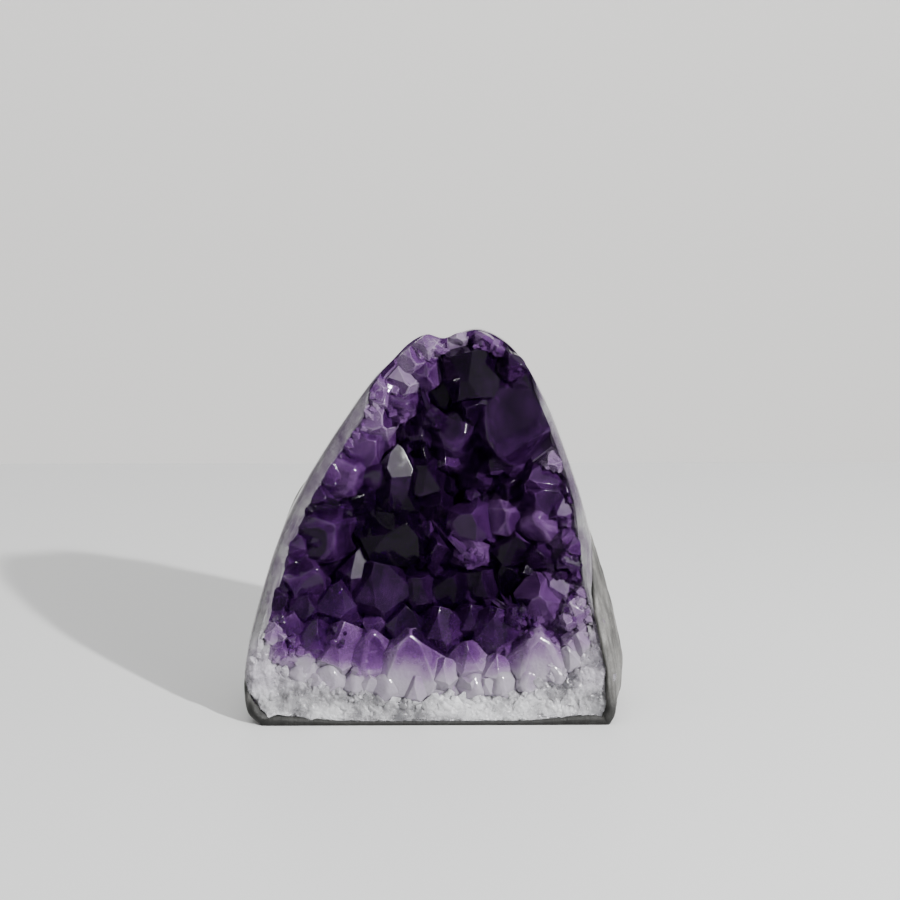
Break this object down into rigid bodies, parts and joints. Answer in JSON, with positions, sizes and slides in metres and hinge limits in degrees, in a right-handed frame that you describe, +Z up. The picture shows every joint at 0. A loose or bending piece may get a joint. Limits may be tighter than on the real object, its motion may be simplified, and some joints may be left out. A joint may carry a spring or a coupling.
{
  "type": "amethyst geode",
  "caption": "Free-standing amethyst geode cut flat underneath: grey-green rock shell, pale quartz rim and a hollow lined with violet crystals.",
  "frame": {"origin": "middle of the bounding box, on the flat base", "axes": "+Z up, -Y towards the viewer (the crystal side), +X to the viewer's right"},
  "size_m": [0.0968, 0.0538, 0.0975],
  "materials": {
    "basalt": "satin",
    "quartz": "sugary, ground edges",
    "amethyst": "glossy"
  },
  "bodies": {
    "root": {"basalt_rind": "basalt", "quartz_layer": "quartz", "amethyst_crust": "amethyst"}
  },
  "joints": []
}
